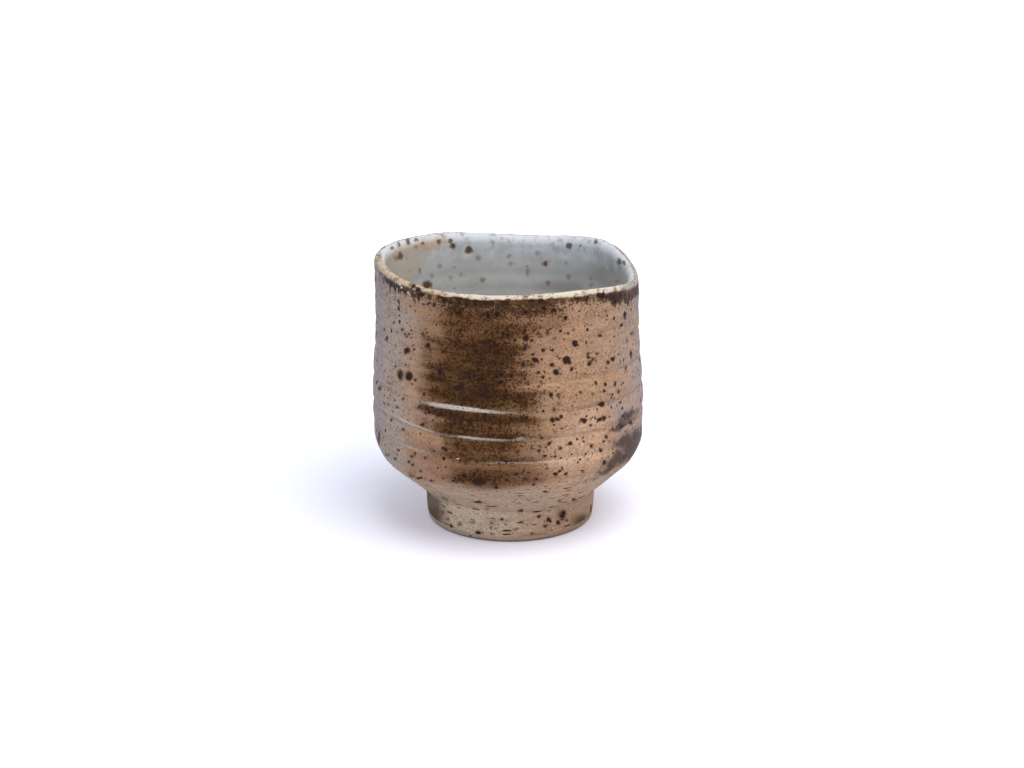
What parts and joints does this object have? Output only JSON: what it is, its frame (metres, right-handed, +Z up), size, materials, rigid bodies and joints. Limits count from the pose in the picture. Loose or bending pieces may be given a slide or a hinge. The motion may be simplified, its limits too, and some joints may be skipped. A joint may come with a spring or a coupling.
{
  "type": "yunomi tea cup",
  "caption": "Hand-thrown stoneware tea cup without a handle: upright grooved wall, uneven lip, belly turned in to a foot ring, pale liner glaze and a speckled brown outer glaze.",
  "frame": {"origin": "on the ground, on the axis of the thrown wall, at the centre of the cup's bounding box", "axes": "+Z up, out of the mouth; -Y towards the viewer of the picture; +X to that viewer's right"},
  "size_m": [0.0798, 0.0798, 0.0796],
  "materials": {
    "stoneware": "bare fired stoneware, iron-bearing and lightly gritty",
    "liner_glaze": "pale grey satin glaze with scattered brown iron spots, cream where it rolls over the lip",
    "outer_glaze": "satin tan glaze with a dark brown flash, black iron specks and pale throwing lines",
    "foot_glaze": "thin greyish tan glaze with dragged specks, darker at the ground edge"
  },
  "bodies": {
    "root": {"cup_body": "stoneware", "foot_ring": "stoneware", "liner_glaze": "liner_glaze", "outer_glaze": "outer_glaze", "foot_glaze": "foot_glaze"}
  },
  "joints": []
}
